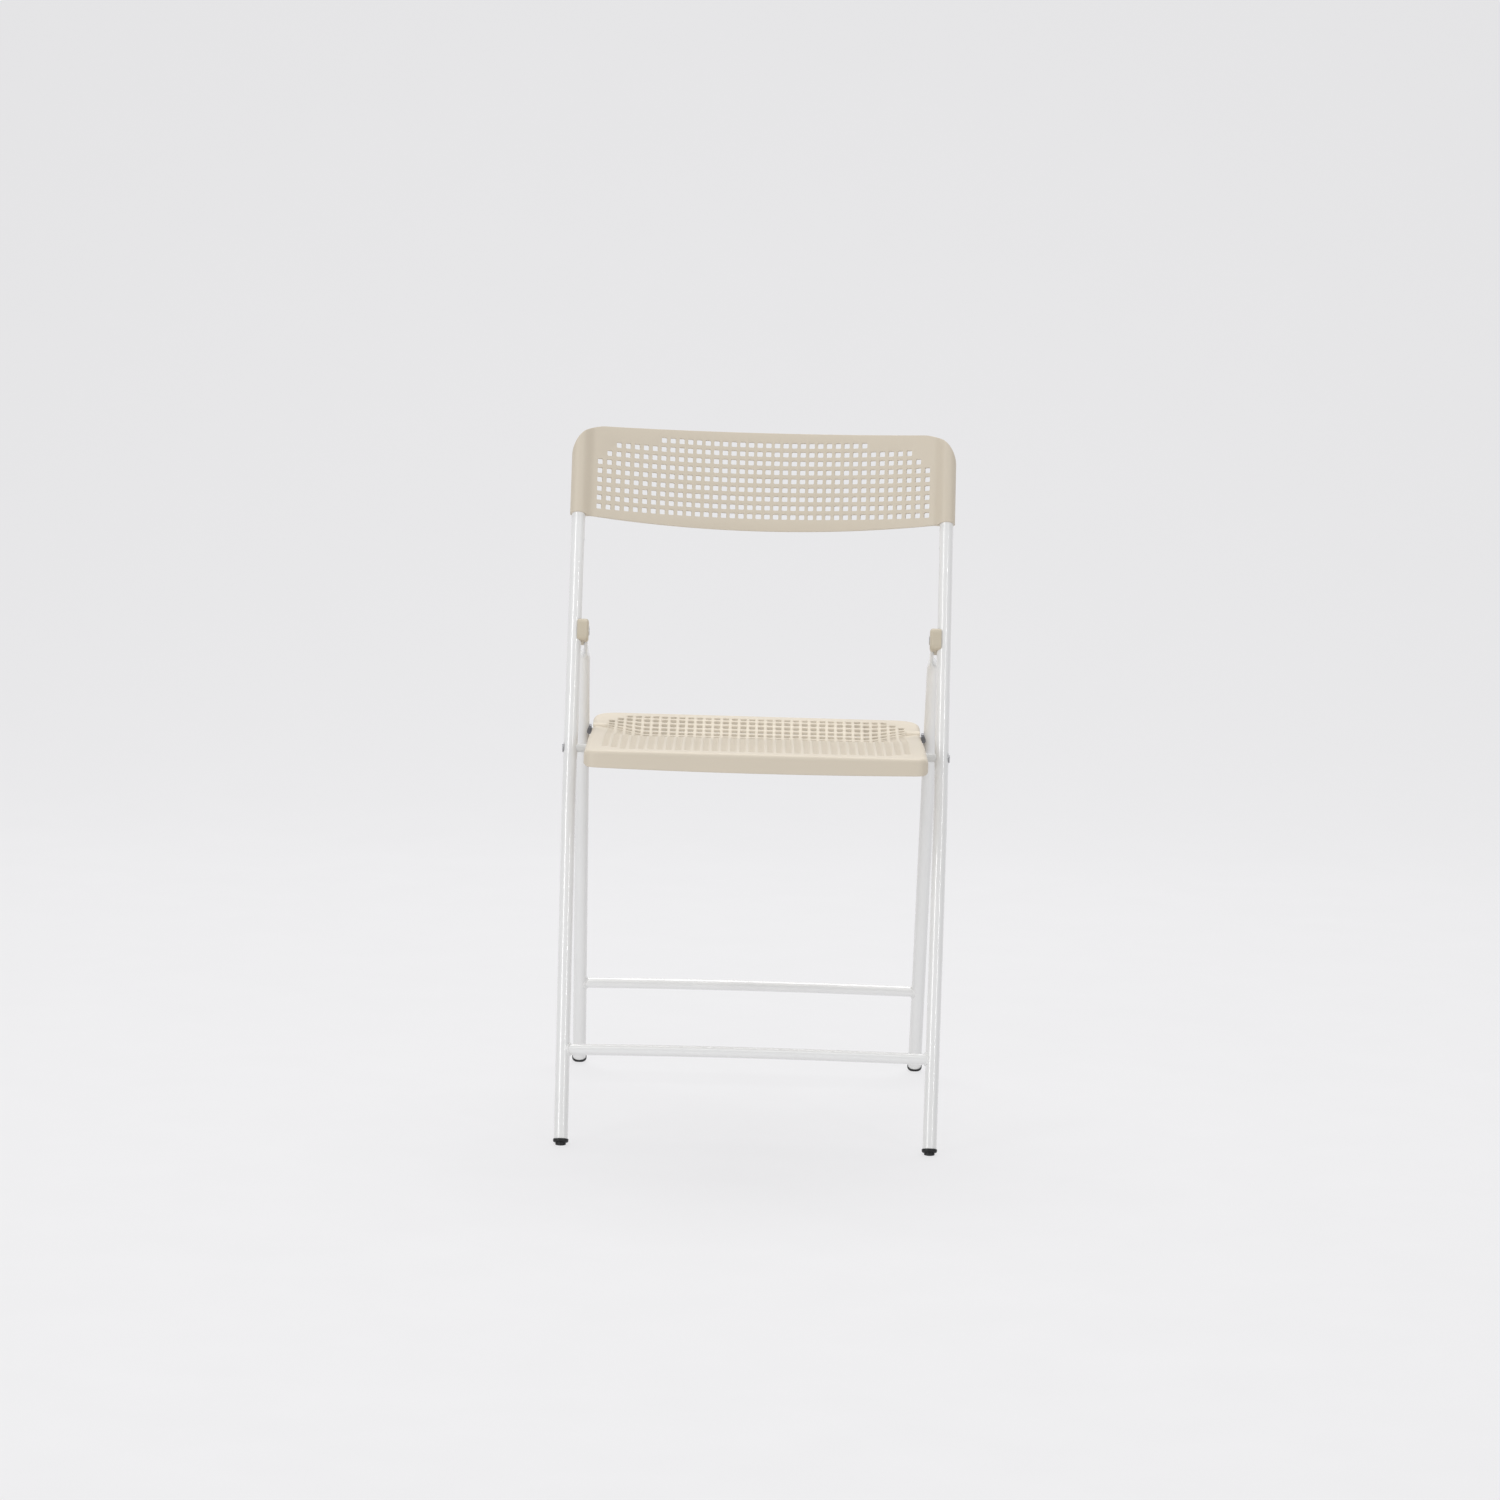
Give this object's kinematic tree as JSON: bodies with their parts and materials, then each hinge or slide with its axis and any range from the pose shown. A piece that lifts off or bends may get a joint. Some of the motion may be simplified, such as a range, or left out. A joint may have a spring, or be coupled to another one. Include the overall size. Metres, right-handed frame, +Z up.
{
  "type": "folding chair",
  "caption": "Folding chair with a light white round-tube frame, a perforated beige plastic seat and a curved perforated back panel.",
  "frame": {"origin": "on the floor, at the centre of the open chair's box", "axes": "+X to the sitter's left across the chair, +Y to the rear, +Z up"},
  "size_m": [0.4482, 0.4949, 0.79],
  "materials": {
    "back_plastic": "satin moulded plastic, beige",
    "foot_plastic": "black moulded, slightly soft",
    "seat_plastic": "satin moulded plastic, beige",
    "shoe_plastic": "satin moulded plastic, beige",
    "spacer_plastic": "pale nylon",
    "steel": "zinc-plated",
    "tube_paint": "gloss white powder coat"
  },
  "bodies": {
    "frame": {"upright_left": "tube_paint", "upright_right": "tube_paint", "front_cross_bar": "tube_paint", "backrest": "back_plastic", "back_screws": "steel", "front_foot_left": "foot_plastic", "front_foot_right": "foot_plastic", "seat_pin_left": "steel", "seat_pin_right": "steel", "seat_spacer_left": "spacer_plastic", "seat_spacer_right": "spacer_plastic"},
    "seat": {"seat": "seat_plastic"},
    "rear_frame": {"rear_leg_left": "tube_paint", "rear_leg_right": "tube_paint", "rear_cross_bar": "tube_paint", "rear_foot_left": "foot_plastic", "rear_foot_right": "foot_plastic", "rear_pin_left": "steel", "rear_pin_right": "steel", "rear_washer_left": "steel", "rear_washer_right": "steel", "leg_rivet_left": "steel", "leg_rivet_right": "steel"},
    "slider_left": {"slider_shoe_left": "shoe_plastic", "slider_stud_left": "steel"},
    "slider_right": {"slider_shoe_right": "shoe_plastic", "slider_stud_right": "steel"}
  },
  "joints": [
    {"name": "seat_fold", "type": "hinge", "parent": "frame", "child": "seat", "pos_m": [0, -0.05309, 0.43087], "axis": [1, 0, 0], "range_deg": [0, 58.28]},
    {"name": "rear_leg_fold", "type": "hinge", "parent": "seat", "child": "rear_frame", "pos_m": [0, 0.06091, 0.43587], "axis": [1, 0, 0], "range_deg": [-100.05, 0]},
    {"name": "slider_left_slide", "type": "slide", "parent": "frame", "child": "slider_left", "axis": [0, 0.3502, 0.9367], "range_m": [0, 0.10343]},
    {"name": "slider_right_slide", "type": "slide", "parent": "frame", "child": "slider_right", "axis": [0, 0.3502, 0.9367], "range_m": [0, 0.10343]}
  ],
  "couplings": [
    {"joint": "rear_leg_fold", "follows": "seat_fold", "ratio": -1.7166},
    {"joint": "slider_left_slide", "follows": "seat_fold", "m_per_rad": 0.10168},
    {"joint": "slider_right_slide", "follows": "seat_fold", "m_per_rad": 0.10168}
  ]
}
